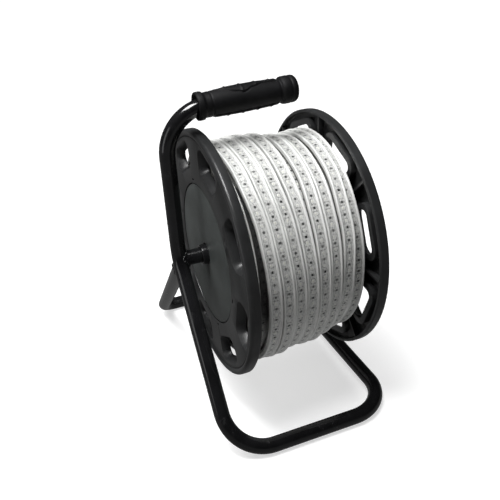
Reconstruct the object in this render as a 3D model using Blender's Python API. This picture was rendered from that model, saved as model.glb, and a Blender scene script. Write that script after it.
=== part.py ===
"""LED strip light wound on a plastic reel, in a stand bent from one steel tube.

The drum turns about its axle, which lies along X. X runs from the upright of the stand to the far
side of the drum, Y runs to the back and Z is up. The origin is on the floor, in the middle of the
stand. The stand's pieces are drawn from the upright's foot point below the axle, and the drum's
pieces from the point where the axle meets the upright.
"""
import math

import bmesh
import bpy
from mathutils import Matrix, Vector

for old in list(bpy.data.objects):
    bpy.data.objects.remove(old, do_unlink=True)

# All sizes are in metres
SEAT_GAP = 0.0003

# Steel tube of the stand
TUBE_DIAMETER = 0.018
BEND_RADIUS = 0.050
FOOT_BEND_RADIUS = 0.018
AXLE_HEIGHT = 0.186
HANDLE_CLEARANCE = 0.0265
HANDLE_RISE = math.radians(2.0)
FRONT_REACH = 0.146
REAR_REACH = 0.181
REAR_CORNER_INSET = 0.009
REAR_WELD_DROP = 0.012
WELD_BEAD_RADIUS = 0.0045
UPRIGHT_SET_BACK = 0.003
SIDE_BAR_CLEARANCE = 0.0045

# Plastic flanges
FLANGE_DIAMETER = 0.290
FLANGE_WIDTH = 0.012
PLATE_THICKNESS = 0.003
PLATE_SETBACK = 0.002
RIM_THICKNESS = 0.0035
BEAD_WIDTH = 0.008
RIB_THICKNESS = 0.0025
RIB_COUNT = 8
HOLE_INNER_RADIUS = 0.1005
HOLE_OUTER_RADIUS = 0.1325
HOLE_HALF_ANGLE = math.radians(14.0)
HOLE_CORNER = 0.009
HOLE_WALL = 0.0022
LEFT_HOLE_PHASE = math.radians(30.0)
RIGHT_HOLE_PHASE = math.radians(22.0)
LEFT_FLANGE_STANDOFF = 0.0295
DRUM_WIDTH = 0.1355

# Round cover plate in the middle of each flange
COVER_DIAMETER = 0.166
COVER_THICKNESS = 0.0024
COVER_SETBACK = 0.0005
COVER_FLOOR = 0.0025
COVER_GROOVE = 0.0009
CATCH_LENGTH = 0.006
CATCH_WIDTH = 0.0022
CATCH_DEPTH = 0.0015
CATCH_MARGIN = 0.0030
CATCH_ANGLES = (math.radians(16.0), math.radians(78.0), math.radians(197.0), math.radians(260.0))

# Axle, its collars and the hubs that turn on it
AXLE_DIAMETER = 0.018
AXLE_OVERHANG = 0.009
COLLAR_DIAMETER = 0.024
COLLAR_LENGTH = 0.0095
COLLAR_PLAY = 0.0006
HUB_DIAMETER = 0.034
BORE_PLAY = 0.0003

# Barrel that the strip is wound on
BARREL_DIAMETER = 0.120
BARREL_WALL = 0.003
SPIGOT_WALL = 0.003
SPIGOT_LENGTH = 0.006

# LED strip: flat jacket, wound side by side in layers that lie tighter at the right flange
STRIP_THICKNESS = 0.0070
STRIP_PITCH = 0.0143
TIGHT_LAYER_PITCH = 0.0072
LOOSE_LAYER_PITCH = 0.0079
LAYER_COUNT = 9
TOP_TURNS = 8
TOP_LAYER_START = 0.0155
SEAM_DEPTH = 0.0016
STRIP_ROUNDING = 0.0014
LAYER_GROOVE = 0.0012

# Rubber grip on the free end of the handle
GRIP_START = 0.036
GRIP_LENGTH = 0.115
GRIP_COLLAR_DIAMETER = 0.0300
GRIP_NECK_DIAMETER = 0.0268
GRIP_PALM_DIAMETER = 0.0301
GRIP_TAIL_DIAMETER = 0.0272
GRIP_COLLAR_LENGTH = 0.0075
GRIP_END_COLLAR = 0.0200
GRIP_END_ROUND = 0.0050
GRIP_GROOVE = 0.0012
GRIP_MOUTH_DIAMETER = 0.0262
GRIP_END_WALL = 0.0060

# How finely round shapes are cut into flat faces
DRUM_SIDES = 48
TUBE_SIDES = 16
GRIP_SIDES = 24
BEND_STEPS = 7
CORNER_STEPS = 4
BEAD_STEPS = 6
SWELL_STEPS = 5
END_STEPS = 3
SHARP_ANGLE = math.radians(35.0)

# Places that follow from the sizes above
TUBE_RADIUS = TUBE_DIAMETER / 2
AXLE_RADIUS = AXLE_DIAMETER / 2
FLANGE_RADIUS = FLANGE_DIAMETER / 2
LEFT_OUTER = LEFT_FLANGE_STANDOFF
LEFT_INNER = LEFT_OUTER + FLANGE_WIDTH
RIGHT_INNER = LEFT_INNER + DRUM_WIDTH
RIGHT_OUTER = RIGHT_INNER + FLANGE_WIDTH
SIDE_BAR_X = RIGHT_OUTER + SIDE_BAR_CLEARANCE + TUBE_RADIUS
COVER_SEAT = PLATE_SETBACK + COVER_SETBACK + COVER_THICKNESS + SEAT_GAP
AXIS_POINT = Vector((0.0, 0.0, AXLE_HEIGHT))
ORIGIN_X = SIDE_BAR_X / 2
ORIGIN_Y = (REAR_REACH - FRONT_REACH) / 2
FLOOR_BAR_HEIGHT = TUBE_RADIUS * math.cos(math.pi / TUBE_SIDES)


def material(name, color, roughness, metallic=0.0):
    """A plain Principled material."""
    mat = bpy.data.materials.new(name)
    mat.use_nodes = True
    shader = mat.node_tree.nodes["Principled BSDF"]
    shader.inputs["Base Color"].default_value = (*color, 1.0)
    shader.inputs["Roughness"].default_value = roughness
    shader.inputs["Metallic"].default_value = metallic
    return mat


BLACK_PAINT = material("black_paint", (0.012, 0.012, 0.013), 0.18)
BLACK_PLASTIC = material("black_plastic", (0.020, 0.021, 0.022), 0.38)
BLACK_RUBBER = material("black_rubber", (0.016, 0.016, 0.017), 0.62)
WHITE_PVC = material("white_pvc", (0.78, 0.79, 0.76), 0.35)
BLACK_STEEL = material("black_steel", (0.015, 0.015, 0.016), 0.22)


def frame_point(name, height):
    """An empty that carries one group of pieces."""
    empty = bpy.data.objects.new(name, None)
    empty.location = (-ORIGIN_X, -ORIGIN_Y, height)
    bpy.context.scene.collection.objects.link(empty)
    return empty


STAND = frame_point("stand_base", 0.0)
DRUM = frame_point("drum_axis", AXLE_HEIGHT)


def finish(name, bm, mat, carrier):
    """Turn a bmesh into a named, smoothly shaded object under its carrier."""
    bmesh.ops.remove_doubles(bm, verts=bm.verts, dist=0.000001)
    bmesh.ops.recalc_face_normals(bm, faces=bm.faces)
    mesh = bpy.data.meshes.new(name)
    bm.to_mesh(mesh)
    bm.free()
    obj = bpy.data.objects.new(name, mesh)
    bpy.context.scene.collection.objects.link(obj)
    mesh.materials.append(mat)
    mesh.shade_smooth()
    mesh.set_sharp_from_angle(angle=SHARP_ANGLE)
    obj.parent = carrier
    return obj


def turned(profile, sides):
    """Spin a closed outline of (x, radius) points about the X axis into a ring."""
    bm = bmesh.new()
    verts = [bm.verts.new((x, 0.0, radius)) for x, radius in profile]
    edges = [bm.edges.new((verts[i - 1], verts[i])) for i in range(len(verts))]
    bmesh.ops.spin(bm, geom=verts + edges, cent=(0, 0, 0), axis=(1, 0, 0), angle=math.tau,
                   steps=sides, use_merge=True)
    return bm


def turned_solid(profile, sides):
    """Spin an open outline whose two ends lie on the X axis into a solid without a bore."""
    bm = bmesh.new()
    verts = [bm.verts.new((x, 0.0, radius)) for x, radius in profile]
    edges = [bm.edges.new((verts[i], verts[i + 1])) for i in range(len(verts) - 1)]
    bmesh.ops.spin(bm, geom=verts + edges, cent=(0, 0, 0), axis=(1, 0, 0), angle=math.tau,
                   steps=sides, use_merge=True)
    return bm


def arc(center, radius, start, end, steps):
    """Points (x, radius) on an arc, with angles measured from +X towards the outside."""
    points = []
    for i in range(steps + 1):
        angle = start + (end - start) * i / steps
        points.append((center[0] + radius * math.cos(angle), center[1] + radius * math.sin(angle)))
    return points


def bent_path(corners, radii):
    """Centre line through the corner points, with a round bend of its own radius at each."""
    path = [corners[0]]
    for before, corner, after, radius in zip(corners, corners[1:], corners[2:], radii):
        into = (corner - before).normalized()
        out = (after - corner).normalized()
        turn = into.angle(out)
        start = corner - into * radius * math.tan(turn / 2)
        center = start + (out - into * into.dot(out)).normalized() * radius
        axis = into.cross(out).normalized()
        steps = max(2, round(BEND_STEPS * turn / math.radians(90.0)))
        for i in range(steps + 1):
            spin = Matrix.Rotation(turn * i / steps, 3, axis)
            path.append(center + spin @ (start - center))
    path.append(corners[-1])
    return path


def swept(path, radius, sides, roll=0.0):
    """A round bar along a path, as one closed body, with its flats turned by the roll."""
    bm = bmesh.new()
    heading = (path[1] - path[0]).normalized()
    side = heading.orthogonal().normalized()
    middle = heading
    rings = []
    for i, point in enumerate(path):
        before = (point - path[i - 1]).normalized() if i else heading
        after = (path[i + 1] - point).normalized() if i + 1 < len(path) else before
        last_middle = middle
        middle = (before + after).normalized()
        side = last_middle.rotation_difference(middle) @ side
        other = middle.cross(side)
        ring = []
        for k in range(sides):
            angle = math.tau * (k + 0.5) / sides + roll
            ring.append(bm.verts.new(point + radius * (math.cos(angle) * side + math.sin(angle) * other)))
        rings.append(ring)
    for ring, following in zip(rings, rings[1:]):
        for k in range(sides):
            n = (k + 1) % sides
            bm.faces.new((ring[k], ring[n], following[n], following[k]))
    bm.faces.new(rings[0][::-1])
    bm.faces.new(rings[-1])
    return bm


def cutter(name, bm, carrier):
    """An object that only shapes others."""
    obj = finish(name, bm, BLACK_STEEL, carrier)
    obj.hide_render = True
    obj.display_type = "WIRE"
    return obj


def cut(target, tool):
    """Take the tool's shape out of the target."""
    boolean = target.modifiers.new("cut_" + tool.name, "BOOLEAN")
    boolean.operation = "DIFFERENCE"
    boolean.object = tool


def move(bm, matrix):
    bmesh.ops.transform(bm, matrix=matrix, verts=bm.verts)
    return bm


# The stand: one tube from the handle down the upright, round the floor and to the rear weld
handle_dir = Vector((math.cos(HANDLE_RISE), 0.0, math.sin(HANDLE_RISE)))
handle_corner = Vector((0.0, UPRIGHT_SET_BACK, AXLE_HEIGHT + FLANGE_RADIUS + HANDLE_CLEARANCE))
handle_end = handle_corner + handle_dir * (GRIP_START + GRIP_LENGTH - GRIP_END_WALL - SEAT_GAP)
front_left = Vector((0.0, -FRONT_REACH, FLOOR_BAR_HEIGHT))
front_right = Vector((SIDE_BAR_X, -FRONT_REACH, FLOOR_BAR_HEIGHT))
rear_right = Vector((SIDE_BAR_X, REAR_REACH, FLOOR_BAR_HEIGHT))
rear_left = Vector((REAR_CORNER_INSET, REAR_REACH, FLOOR_BAR_HEIGHT))
upright_bend = AXIS_POINT + Vector((0.0, UPRIGHT_SET_BACK, 0.0))
rear_weld = upright_bend - Vector((0.0, 0.0, REAR_WELD_DROP))
leg_dir = (rear_weld - rear_left).normalized()
leg_end = rear_weld + leg_dir * (TUBE_RADIUS - WELD_BEAD_RADIUS)


def make_stand():
    """The tube's last end runs up from the rear foot into the upright, where a weld joins them."""
    corners = [handle_end, handle_corner, upright_bend, front_left, front_right, rear_right, rear_left,
               leg_end]
    radii = [BEND_RADIUS] * (len(corners) - 3) + [FOOT_BEND_RADIUS]
    path = bent_path(corners, radii)
    lean = (front_left - upright_bend).angle(Vector((0.0, 0.0, -1.0)))
    tube = finish("stand_tube", swept(path, TUBE_RADIUS, TUBE_SIDES, lean), BLACK_PAINT, STAND)
    upright = bent_path([handle_corner, upright_bend, front_left], [BEND_RADIUS])
    leg = [rear_left, leg_end + leg_dir * SEAT_GAP]
    bead = bmesh.new()
    bmesh.ops.create_uvsphere(bead, u_segments=TUBE_SIDES, v_segments=TUBE_SIDES // 2,
                              radius=WELD_BEAD_RADIUS)
    leg_up = leg_dir.cross(Vector((1.0, 0.0, 0.0)))
    bead_place = rear_weld + leg_up * TUBE_RADIUS - leg_dir * WELD_BEAD_RADIUS
    union = tube.modifiers.new("weld", "BOOLEAN")
    union.operation = "UNION"
    union.object = cutter("weld_bead", move(bead, Matrix.Translation(bead_place)), STAND)
    union.use_self = True
    axle_path = [AXIS_POINT, AXIS_POINT + Vector((RIGHT_OUTER + AXLE_OVERHANG, 0.0, 0.0))]
    axle = finish("axle", swept(axle_path, AXLE_RADIUS, TUBE_SIDES), BLACK_STEEL, STAND)
    for name, line in (("upright_clearance", upright), ("leg_clearance", leg)):
        cut(axle, cutter(name, swept(line, TUBE_RADIUS + SEAT_GAP, TUBE_SIDES), STAND))


def make_collar(name, place, mirror):
    """A ring on the axle that reaches through the cover to the flange and holds the drum in place."""
    bore = AXLE_RADIUS + SEAT_GAP
    rim = COLLAR_DIAMETER / 2
    chamfer = (rim - bore) / 4
    end = COVER_SEAT - SEAT_GAP
    start = end - COLLAR_LENGTH
    profile = [(start, bore), (start, rim - chamfer), (start + chamfer, rim), (end - chamfer, rim),
               (end, rim - chamfer), (end, bore)]
    bm = turned(profile, TUBE_SIDES)
    finish(name, move(bm, Matrix.Translation(AXIS_POINT) @ flange_place(place, mirror)), BLACK_STEEL, STAND)


def flange_place(place, mirror):
    """From a flange's own outer side to its place along the axle, turned round for the right one."""
    return Matrix.Translation((place, 0, 0)) @ Matrix.Scale(mirror, 4, (1, 0, 0))


def hole_outline(grow):
    """Rounded outline of one flange hole about the angle 0, as (across, radius) points."""
    inner = HOLE_INNER_RADIUS - grow
    outer = HOLE_OUTER_RADIUS + grow
    corner = HOLE_CORNER + grow
    points = []
    for side, radius, turn in ((1, inner, 1), (1, outer, 0), (-1, outer, 1), (-1, inner, 0)):
        sign = 1 if radius == outer else -1
        level = radius - sign * corner
        wall_shift = HOLE_HALF_ANGLE - math.asin(HOLE_CORNER / level)
        center = Vector((side * level * math.sin(wall_shift), level * math.cos(wall_shift)))
        out_dir = Vector((side * math.sin(wall_shift), math.cos(wall_shift))) * sign
        flank_dir = Vector((side * math.cos(HOLE_HALF_ANGLE), -math.sin(HOLE_HALF_ANGLE)))
        first, last = (out_dir, flank_dir) if turn else (flank_dir, out_dir)
        for i in range(CORNER_STEPS + 1):
            share = i / CORNER_STEPS
            heading = first.slerp(last, share)
            points.append(center + corner * heading)
    return points


def hole_prism(angle, x_start, x_end, grow):
    """The hole's outline pushed along X between two places, turned to its angle about the axle."""
    bm = bmesh.new()
    ring = [bm.verts.new((x_start, p.x, p.y)) for p in hole_outline(grow)]
    face = bm.faces.new(ring)
    pushed = bmesh.ops.extrude_face_region(bm, geom=[face])
    moved = [v for v in pushed["geom"] if isinstance(v, bmesh.types.BMVert)]
    bmesh.ops.translate(bm, vec=(x_end - x_start, 0, 0), verts=moved)
    return move(bm, Matrix.Rotation(-angle, 4, "X"))


def joined(parts):
    """One bmesh that holds several."""
    whole = bmesh.new()
    for part in parts:
        mesh = bpy.data.meshes.new("part")
        part.to_mesh(mesh)
        part.free()
        whole.from_mesh(mesh)
        bpy.data.meshes.remove(mesh)
    return whole


def flange_profile():
    """Section of a flange, with x from its outer side inwards and the hub's bore at the bottom."""
    plate_out = PLATE_SETBACK
    plate_in = plate_out + PLATE_THICKNESS
    recess = COVER_SEAT
    floor_in = recess + COVER_FLOOR
    cover_edge = COVER_DIAMETER / 2 + COVER_GROOVE
    bead_radius = BEAD_WIDTH / 2
    bead_center = (bead_radius, FLANGE_RADIUS - bead_radius)
    bead = arc(bead_center, bead_radius, math.radians(270.0), math.radians(90.0), BEAD_STEPS)
    bore = AXLE_RADIUS + BORE_PLAY
    hub = HUB_DIAMETER / 2
    spigot = BARREL_DIAMETER / 2 - BARREL_WALL - SEAT_GAP
    profile = [(recess, bore), (recess, cover_edge), (plate_out, cover_edge), (plate_out, bead[0][1])]
    profile += bead[1:]
    lip = FLANGE_RADIUS - RIM_THICKNESS
    soft = RIM_THICKNESS / 4
    profile += [(FLANGE_WIDTH - soft, FLANGE_RADIUS), (FLANGE_WIDTH, FLANGE_RADIUS - soft),
                (FLANGE_WIDTH, lip), (plate_in, lip), (plate_in, cover_edge + COVER_FLOOR),
                (floor_in, cover_edge + COVER_FLOOR), (floor_in, spigot),
                (floor_in + SPIGOT_LENGTH, spigot), (floor_in + SPIGOT_LENGTH, spigot - SPIGOT_WALL),
                (floor_in, spigot - SPIGOT_WALL), (floor_in, hub), (FLANGE_WIDTH, hub), (FLANGE_WIDTH, bore)]
    return profile


def make_flange(name, place, mirror, phase):
    """One moulded flange: plate, rim, hub, eight holes with deep walls and a rib between each two."""
    plate_in = PLATE_SETBACK + PLATE_THICKNESS
    sink = PLATE_THICKNESS / 2
    ring_end = FLANGE_WIDTH - SEAT_GAP
    rib_inner = COVER_DIAMETER / 2
    rib_outer = FLANGE_RADIUS - RIM_THICKNESS / 2
    walls = []
    ribs = []
    tools = []
    for i in range(RIB_COUNT):
        angle = phase - math.tau * i / RIB_COUNT
        walls.append(hole_prism(angle, plate_in - sink, ring_end, HOLE_WALL))
        tools.append(hole_prism(angle, -FLANGE_WIDTH, FLANGE_WIDTH * 2, 0.0))
        rib = bmesh.new()
        bmesh.ops.create_cube(rib, size=1.0)
        length = rib_outer - rib_inner
        depth = ring_end - plate_in + sink
        bmesh.ops.scale(rib, vec=(depth, RIB_THICKNESS, length), verts=rib.verts)
        middle = Vector((plate_in - sink + depth / 2, 0.0, rib_inner + length / 2))
        bmesh.ops.translate(rib, vec=middle, verts=rib.verts)
        ribs.append(move(rib, Matrix.Rotation(-(angle - math.pi / RIB_COUNT), 4, "X")))
    catches = []
    for angle in CATCH_ANGLES:
        slot = bmesh.new()
        bmesh.ops.create_cube(slot, size=1.0)
        bmesh.ops.scale(slot, vec=(CATCH_DEPTH * 2, CATCH_LENGTH, CATCH_WIDTH), verts=slot.verts)
        height = COVER_DIAMETER / 2 + COVER_GROOVE + CATCH_MARGIN + CATCH_WIDTH / 2
        bmesh.ops.translate(slot, vec=(PLATE_SETBACK, 0.0, height), verts=slot.verts)
        catches.append(move(slot, Matrix.Rotation(-angle, 4, "X")))
    to_place = flange_place(place, mirror)
    flange = finish(name, move(turned(flange_profile(), DRUM_SIDES), to_place), BLACK_PLASTIC, DRUM)
    for label, parts, operation in (("walls", walls, "UNION"), ("ribs", ribs, "UNION"),
                                    ("holes", tools, "DIFFERENCE"), ("catches", catches, "DIFFERENCE")):
        tool = cutter(name + "_" + label, move(joined(parts), to_place), DRUM)
        boolean = flange.modifiers.new(label, "BOOLEAN")
        boolean.operation = operation
        boolean.object = tool


def make_cover(name, place, mirror):
    """Round plate that closes the middle of a flange, with a hole for the axle's collar."""
    outer = COVER_DIAMETER / 2
    hole = COLLAR_DIAMETER / 2 + COLLAR_PLAY
    front = PLATE_SETBACK + COVER_SETBACK
    back = front + COVER_THICKNESS
    soft = COVER_THICKNESS / 4
    profile = [(front, hole), (front, outer - soft), (front + soft, outer), (back, outer), (back, hole)]
    finish(name, move(turned(profile, DRUM_SIDES), flange_place(place, mirror)), BLACK_PLASTIC, DRUM)


def make_barrel():
    """A tube between the two flanges, centred by the ring that stands inside each of its ends."""
    outer = BARREL_DIAMETER / 2
    inner = outer - BARREL_WALL
    seat = COVER_SEAT + COVER_FLOOR + SEAT_GAP
    start = LEFT_OUTER + seat
    end = RIGHT_OUTER - seat
    profile = [(start, inner), (start, outer), (end, outer), (end, inner)]
    finish("drum_barrel", turned(profile, DRUM_SIDES), BLACK_PLASTIC, DRUM)


def layer_base(count, x):
    """Radius under a layer of strip, with the number of layers below it, at a place along the axle."""
    start = LEFT_INNER + SEAT_GAP
    share = (x - start) / (RIGHT_INNER - SEAT_GAP - start)
    pitch = LOOSE_LAYER_PITCH + (TIGHT_LAYER_PITCH - LOOSE_LAYER_PITCH) * share
    return BARREL_DIAMETER / 2 + SEAT_GAP + count * pitch


def winding_profile():
    """Section of the wound strip: turns side by side on top, layers one over the other at the ends."""
    start = LEFT_INNER + SEAT_GAP
    end = RIGHT_INNER - SEAT_GAP
    full = LAYER_COUNT - 1
    profile = [(start, layer_base(0, start))]
    for i in range(full):
        level = layer_base(i + 1, start)
        profile.append((start, level - LAYER_GROOVE))
        profile.append((start + LAYER_GROOVE, level))
    first = LEFT_INNER + TOP_LAYER_START
    profile.append((first, layer_base(full, first)))
    for i in range(TOP_TURNS):
        left = first + i * STRIP_PITCH
        right = left + STRIP_PITCH
        top = layer_base(full, left) + STRIP_THICKNESS
        if i == 0:
            profile.append((left, top - STRIP_ROUNDING))
        profile.append((left + STRIP_ROUNDING, top))
        profile.append((right - STRIP_ROUNDING, top))
        if i + 1 < TOP_TURNS:
            profile.append((right, top - SEAM_DEPTH))
        else:
            profile.append((right, top - STRIP_ROUNDING))
            profile.append((right, layer_base(full, right)))
    for i in reversed(range(full)):
        level = layer_base(i + 1, end)
        profile.append((end - LAYER_GROOVE, level))
        profile.append((end, level - LAYER_GROOVE))
    profile.append((end, layer_base(0, end)))
    return profile


def make_winding():
    finish("strip_winding", turned(winding_profile(), DRUM_SIDES), WHITE_PVC, DRUM)


def grip_profile():
    """Section of the rubber sleeve, with x along the handle from its mouth to its closed end."""
    collar = GRIP_COLLAR_DIAMETER / 2
    neck = GRIP_NECK_DIAMETER / 2
    palm = GRIP_PALM_DIAMETER / 2
    tail = GRIP_TAIL_DIAMETER / 2
    mouth = GRIP_MOUTH_DIAMETER / 2
    bore = TUBE_RADIUS + SEAT_GAP
    tail_start = GRIP_LENGTH - GRIP_END_COLLAR
    bend_ends = BEND_RADIUS - GRIP_START
    soft = GRIP_GROOVE
    outer = [(0.0, collar - soft), (soft, collar), (GRIP_COLLAR_LENGTH - soft, collar),
             (GRIP_COLLAR_LENGTH, collar - soft), (GRIP_COLLAR_LENGTH + soft, neck)]
    swell = SWELL_STEPS
    for i in range(1, swell + 1):
        share = i / swell
        x = GRIP_COLLAR_LENGTH + soft + (tail_start / 2 - GRIP_COLLAR_LENGTH - soft) * share
        outer.append((x, neck + (palm - neck) * math.sin(share * math.pi / 2)))
    for i in range(1, swell):
        share = i / swell
        x = tail_start / 2 + (tail_start / 2 - soft) * share
        outer.append((x, tail + (palm - tail) * math.cos(share * math.pi / 2)))
    outer += [(tail_start - soft, tail), (tail_start, tail - soft), (tail_start + soft, collar - soft),
              (tail_start + 2 * soft, collar)]
    outer += arc((GRIP_LENGTH - GRIP_END_ROUND, collar - GRIP_END_ROUND), GRIP_END_ROUND,
                 math.radians(90.0), 0.0, END_STEPS)
    outer += [(GRIP_LENGTH, 0.0)]
    inner = [(GRIP_LENGTH - GRIP_END_WALL, 0.0), (GRIP_LENGTH - GRIP_END_WALL, bore), (bend_ends, bore),
             (0.0, mouth)]
    return inner + outer


def make_grip():
    """The sleeve lies along the handle, and its mouth is wide enough for the end of the bend."""
    bm = turned_solid(grip_profile(), GRIP_SIDES)
    start = handle_corner + handle_dir * GRIP_START
    move(bm, Matrix.Translation(start) @ Matrix.Rotation(-HANDLE_RISE, 4, "Y"))
    finish("grip", bm, BLACK_RUBBER, STAND)


make_stand()
make_collar("left_collar", LEFT_OUTER, 1.0)
make_collar("right_collar", RIGHT_OUTER, -1.0)
make_flange("left_flange", LEFT_OUTER, 1.0, LEFT_HOLE_PHASE)
make_flange("right_flange", RIGHT_OUTER, -1.0, RIGHT_HOLE_PHASE)
make_cover("left_cover", LEFT_OUTER, 1.0)
make_cover("right_cover", RIGHT_OUTER, -1.0)
make_barrel()
make_winding()
make_grip()
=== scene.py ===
# %% [markdown]
# # A reel of LED strip light
#
# A flat white strip light is wound on a black plastic drum. The drum turns on an axle that is
# welded to a stand, and the stand is bent from one steel tube with a rubber grip on its free end.
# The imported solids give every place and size. This lesson dresses them: it makes each piece again
# with rounder edges and finer detail, keeps it where its solid is, and lets it move with its body.

import math

import bmesh
import bpy
from mathutils import Matrix, Vector, noise


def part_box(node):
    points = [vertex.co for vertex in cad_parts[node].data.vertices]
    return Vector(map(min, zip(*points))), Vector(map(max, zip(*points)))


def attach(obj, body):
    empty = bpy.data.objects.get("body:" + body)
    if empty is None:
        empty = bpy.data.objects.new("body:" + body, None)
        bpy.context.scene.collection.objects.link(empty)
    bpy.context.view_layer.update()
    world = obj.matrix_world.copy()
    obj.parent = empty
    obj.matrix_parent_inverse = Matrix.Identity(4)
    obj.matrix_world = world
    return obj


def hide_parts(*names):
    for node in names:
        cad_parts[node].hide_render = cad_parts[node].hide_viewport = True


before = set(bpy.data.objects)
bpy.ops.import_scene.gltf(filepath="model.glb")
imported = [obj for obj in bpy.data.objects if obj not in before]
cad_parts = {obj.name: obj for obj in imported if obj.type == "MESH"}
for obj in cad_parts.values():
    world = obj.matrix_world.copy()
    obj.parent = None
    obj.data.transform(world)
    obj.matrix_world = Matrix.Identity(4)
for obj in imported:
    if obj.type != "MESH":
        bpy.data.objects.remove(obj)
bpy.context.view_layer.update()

# %% [markdown]
# ## Places taken from the solids
#
# The axle is the line that everything on the drum is measured from. Its height and depth are the
# middle of the barrel. The two flanges give the outer sides of the drum. The other numbers are the
# same ones that the solids were drawn with. All of them are in metres, with Z up.

# %% Places and sizes
barrel_low, barrel_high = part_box("drum_barrel")
AXLE = Vector((0.0, (barrel_low.y + barrel_high.y) / 2, (barrel_low.z + barrel_high.z) / 2))
LEFT_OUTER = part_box("left_flange")[0].x
RIGHT_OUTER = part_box("right_flange")[1].x
STAND_LOW, STAND_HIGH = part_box("stand_tube")
FLANGE_WIDTH = 0.012
FLANGE_RADIUS = 0.145
TUBE_RADIUS = 0.009
UPRIGHT_GAP = 0.0295
UPRIGHT_X = LEFT_OUTER - UPRIGHT_GAP
TO_DRUM = Matrix.Translation(AXLE)
print("axle at y", round(AXLE.y, 4), "z", round(AXLE.z, 4), "upright at x", round(UPRIGHT_X, 4))

# %% [markdown]
# ## Helpers for pieces
#
# A bmesh is a mesh under construction. `finish_piece` turns one into an object whose place is in
# its mesh, with smooth faces that turn sharp at hard corners. `spin_outline` works like a lathe:
# it turns an outline of (x, radius) points about the X axis. `rounded` breaks an outline's corners
# before it is spun. `bake` fixes modifiers in the mesh.

# %% Piece helpers
def finish_piece(name, bm, material, sharp=35.0):
    bmesh.ops.remove_doubles(bm, verts=bm.verts, dist=0.000002)
    bmesh.ops.recalc_face_normals(bm, faces=bm.faces)
    mesh = bpy.data.meshes.new(name)
    bm.to_mesh(mesh)
    bm.free()
    mesh.materials.append(material)
    mesh.shade_smooth()
    mesh.set_sharp_from_angle(angle=math.radians(sharp))
    piece = bpy.data.objects.new(name, mesh)
    bpy.context.scene.collection.objects.link(piece)
    return piece


def spin_outline(points, steps, closed=True):
    """One full turn of an outline of (x, radius) points about the X axis."""
    bm = bmesh.new()
    verts = [bm.verts.new((x, 0.0, radius)) for x, radius in points]
    pairs = zip(verts, verts[1:] + verts[:1]) if closed else zip(verts, verts[1:])
    edges = [bm.edges.new(pair) for pair in pairs]
    bmesh.ops.spin(bm, geom=verts + edges, cent=(0, 0, 0), axis=(1, 0, 0), angle=math.tau,
                   steps=steps, use_merge=True)
    return bm


def arc_points(center, radius, start, end, steps):
    """Points on an arc between two angles in degrees."""
    points = []
    for i in range(steps + 1):
        angle = math.radians(start + (end - start) * i / steps)
        points.append((center[0] + radius * math.cos(angle), center[1] + radius * math.sin(angle)))
    return points


def rounded(points, radius, steps=3):
    """The closed outline with each corner turned into a small round of at most this radius."""
    result = []
    count = len(points)
    for i in range(count):
        corner = Vector(points[i])
        before = Vector(points[i - 1]) - corner
        after = Vector(points[(i + 1) % count]) - corner
        reach = min(radius, before.length * 0.45, after.length * 0.45)
        bend = before.angle(after)
        if bend > math.radians(155.0):
            result.append(tuple(corner))
            continue
        start = corner + before.normalized() * reach
        end = corner + after.normalized() * reach
        for k in range(steps + 1):
            t = k / steps
            point = start * (1 - t) ** 2 + corner * 2 * t * (1 - t) + end * t ** 2
            result.append((point.x, point.y))
    return result


def move(bm, matrix):
    bmesh.ops.transform(bm, matrix=matrix, verts=bm.verts)
    return bm


def joined(parts):
    """One bmesh that holds all the parts, which are freed."""
    whole = bmesh.new()
    for part in parts:
        mesh = bpy.data.meshes.new("part")
        part.to_mesh(mesh)
        part.free()
        whole.from_mesh(mesh)
        bpy.data.meshes.remove(mesh)
    return whole


def bake(piece):
    evaluated = piece.evaluated_get(bpy.context.evaluated_depsgraph_get())
    mesh = bpy.data.meshes.new_from_object(evaluated)
    piece.modifiers.clear()
    old = piece.data
    piece.data = mesh
    bpy.data.meshes.remove(old)


def report_piece(piece):
    print(piece.name, "has", len(piece.data.polygons), "faces")


print("a rounded square has", len(rounded([(0, 0), (1, 0), (1, 1), (0, 1)], 0.1)), "points")

# %% [markdown]
# ## Helpers for finishes
#
# A shader graph is easier to read as a formula. The class `Sock` wraps one output socket, and its
# operators add Math nodes, so `1 - mask` or `a * b` can be written as on paper. Colours are mixed
# with a Mix node, because a Math node would turn them grey. `Finish` starts a material, holds its
# node tree, and makes any other node from its type, its settings and its inputs.

# %% Shader helpers
class Sock:
    def __init__(self, finish, socket):
        self.finish = finish
        self.socket = socket

    def math(self, operation, *values):
        return self.finish.node("ShaderNodeMath", {"operation": operation}, [self, *values])

    def __add__(self, other):
        return self.math("ADD", other)

    def __sub__(self, other):
        return self.math("SUBTRACT", other)

    def __mul__(self, other):
        return self.math("MULTIPLY", other)

    def __truediv__(self, other):
        return self.math("DIVIDE", other)

    def __rsub__(self, other):
        return self.finish.node("ShaderNodeMath", {"operation": "SUBTRACT"}, [other, self])

    def __radd__(self, other):
        return self + other

    def __lt__(self, other):
        return self.math("LESS_THAN", other)

    def __gt__(self, other):
        return self.math("GREATER_THAN", other)

    def abs(self):
        return self.math("ABSOLUTE")

    def fract(self):
        return self.math("FRACT")

    def floor(self):
        return self.math("FLOOR")

    def power(self, exponent):
        return self.math("POWER", exponent)

    def smooth(self, low, high):
        """0 below low, 1 above high, and a smooth step between."""
        inputs = {"Value": self, "From Min": low, "From Max": high}
        settings = {"interpolation_type": "SMOOTHSTEP"}
        return self.finish.node("ShaderNodeMapRange", settings, inputs, "Result")


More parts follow.
